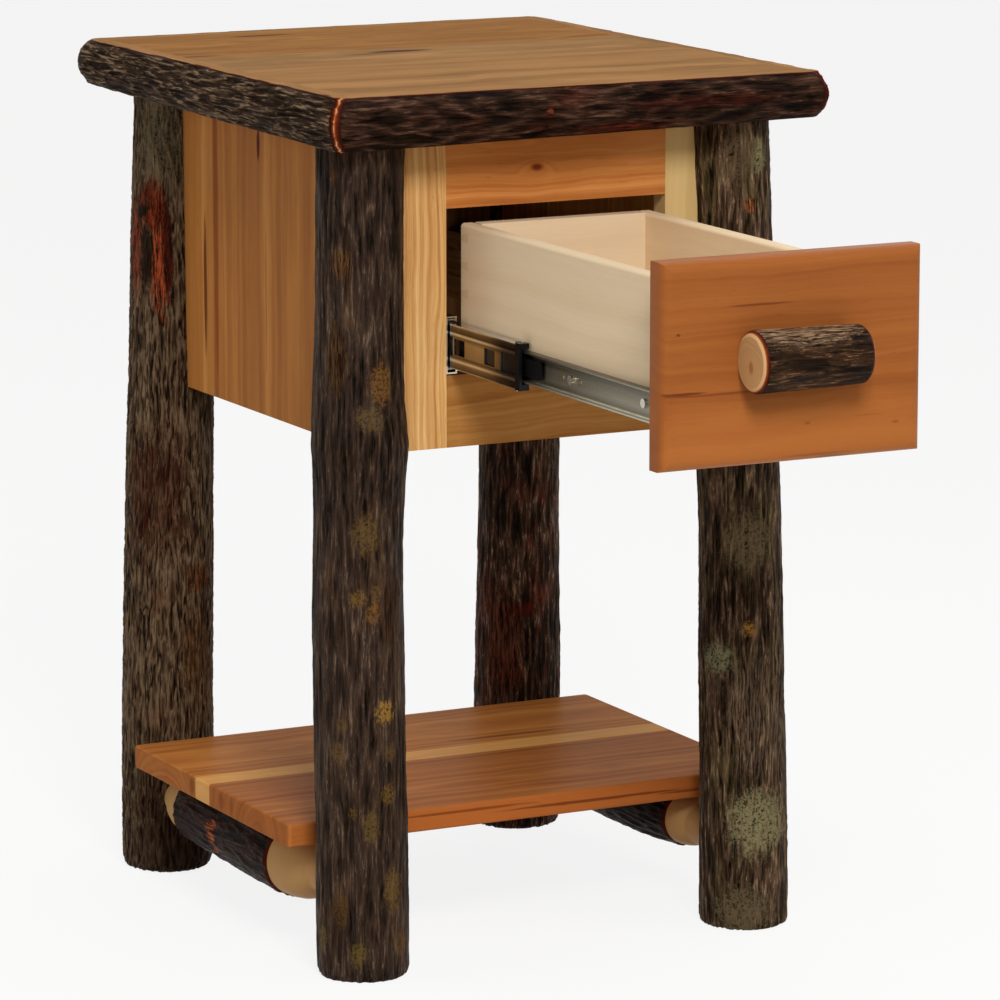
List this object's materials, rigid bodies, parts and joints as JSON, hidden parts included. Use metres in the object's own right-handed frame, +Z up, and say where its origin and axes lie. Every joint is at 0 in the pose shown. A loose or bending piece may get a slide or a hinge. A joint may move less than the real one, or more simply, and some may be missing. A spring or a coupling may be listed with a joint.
{
  "type": "bedside table with drawer",
  "caption": "Rustic log bedside table: bark-on legs and top edging, a framed cabinet with a drawer on ball-bearing slides, and a low shelf on log stretchers.",
  "frame": {"origin": "on the floor, midway between the four legs", "axes": "+Z up; the front of the table faces -Y and the drawer stands open towards -Y"},
  "size_m": [0.442, 0.8749, 0.707],
  "materials": {
    "bark": "lacquered hickory bark, inner bark and peeled wood where it is cut",
    "top_wood": "clear-lacquered hickory, satin",
    "panel_wood": "clear-lacquered hickory staves, satin",
    "stile_wood": "pale clear-lacquered hickory, satin",
    "rail_wood": "reddish clear-lacquered hickory, satin",
    "bare_wood": "unfinished softwood",
    "shelf_wood": "clear-lacquered hickory, satin",
    "strip_wood": "pale clear-lacquered hickory, satin",
    "front_wood": "reddish clear-lacquered hickory, satin",
    "birch": "pale birch, thin matt lacquer",
    "zinc_steel": "zinc-plated rolled steel",
    "black_plastic": "moulded acetal",
    "ball_steel": "polished steel balls",
    "screw_zinc": "bright zinc-plated"
  },
  "bodies": {
    "table": {"back_panel": "panel_wood", "block_screws": "screw_zinc", "leg_back_left": "bark", "leg_back_right": "bark", "leg_front_left": "bark", "leg_front_right": "bark", "leg_screws": "screw_zinc", "rail_bottom": "rail_wood", "rail_top": "rail_wood", "shelf_board_back": "shelf_wood", "shelf_board_front": "shelf_wood", "shelf_screws": "screw_zinc", "shelf_strip": "strip_wood", "side_panel_left": "panel_wood", "side_panel_right": "panel_wood", "slide_block_left": "bare_wood", "slide_block_right": "bare_wood", "slide_cabinet_screws": "screw_zinc", "slide_outer_left": "zinc_steel", "slide_outer_right": "zinc_steel", "stile_left": "stile_wood", "stile_right": "stile_wood", "stretcher_left": "bark", "stretcher_right": "bark", "top_board_back": "top_wood", "top_board_front": "top_wood", "top_board_middle": "top_wood", "top_cleat_back": "bare_wood", "top_cleat_front": "bare_wood", "top_screws": "screw_zinc", "trim_back": "bark", "trim_front": "bark", "trim_left": "bark", "trim_right": "bark"},
    "drawer": {"drawer_front": "front_wood", "drawer_handle": "bark", "drawer_side_left": "birch", "drawer_side_right": "birch", "drawer_box_front": "birch", "drawer_box_back": "birch", "drawer_bottom": "birch", "front_screws": "screw_zinc", "handle_screws": "screw_zinc", "slide_inner_left": "zinc_steel", "slide_inner_right": "zinc_steel", "slide_drawer_screws": "screw_zinc"},
    "left_middle_member": {"slide_middle_left": "zinc_steel", "slide_bumper_left": "black_plastic"},
    "left_outer_cage": {"outer_cage_left": "black_plastic", "outer_balls_left": "ball_steel"},
    "left_inner_cage": {"inner_cage_left": "black_plastic", "inner_balls_left": "ball_steel"},
    "left_lever": {"release_lever_left": "black_plastic"},
    "right_middle_member": {"slide_middle_right": "zinc_steel", "slide_bumper_right": "black_plastic"},
    "right_outer_cage": {"outer_cage_right": "black_plastic", "outer_balls_right": "ball_steel"},
    "right_inner_cage": {"inner_cage_right": "black_plastic", "inner_balls_right": "ball_steel"},
    "right_lever": {"release_lever_right": "black_plastic"}
  },
  "joints": [
    {"name": "drawer_slide", "type": "slide", "parent": "table", "child": "drawer", "axis": [0, 1, 0], "range_m": [0, 0.356]},
    {"name": "left_middle_member_slide", "type": "slide", "parent": "table", "child": "left_middle_member", "axis": [0, 1, 0], "range_m": [0, 0.122]},
    {"name": "left_outer_cage_slide", "type": "slide", "parent": "table", "child": "left_outer_cage", "axis": [0, 1, 0], "range_m": [0, 0.061]},
    {"name": "left_inner_cage_slide", "type": "slide", "parent": "table", "child": "left_inner_cage", "axis": [0, 1, 0], "range_m": [0, 0.239]},
    {"name": "left_lever_hinge", "type": "hinge", "parent": "drawer", "child": "left_lever", "pos_m": [-0.0886, -0.2485, 0.50155], "axis": [1, 0, 0], "range_deg": [0, 2], "stiffness_Nm_per_rad": 0.2, "springref_deg": -1.72},
    {"name": "right_middle_member_slide", "type": "slide", "parent": "table", "child": "right_middle_member", "axis": [0, 1, 0], "range_m": [0, 0.122]},
    {"name": "right_outer_cage_slide", "type": "slide", "parent": "table", "child": "right_outer_cage", "axis": [0, 1, 0], "range_m": [0, 0.061]},
    {"name": "right_inner_cage_slide", "type": "slide", "parent": "table", "child": "right_inner_cage", "axis": [0, 1, 0], "range_m": [0, 0.239]},
    {"name": "right_lever_hinge", "type": "hinge", "parent": "drawer", "child": "right_lever", "pos_m": [0.0886, -0.2485, 0.50155], "axis": [1, 0, 0], "range_deg": [-2, 0], "stiffness_Nm_per_rad": 0.2, "springref_deg": 1.72}
  ],
  "couplings": [
    {"joint": "left_middle_member_slide", "follows": "drawer_slide", "ratio": 0.34269},
    {"joint": "left_outer_cage_slide", "follows": "drawer_slide", "ratio": 0.17134},
    {"joint": "left_inner_cage_slide", "follows": "drawer_slide", "ratio": 0.67134},
    {"joint": "right_middle_member_slide", "follows": "drawer_slide", "ratio": 0.34269},
    {"joint": "right_outer_cage_slide", "follows": "drawer_slide", "ratio": 0.17134},
    {"joint": "right_inner_cage_slide", "follows": "drawer_slide", "ratio": 0.67134}
  ]
}
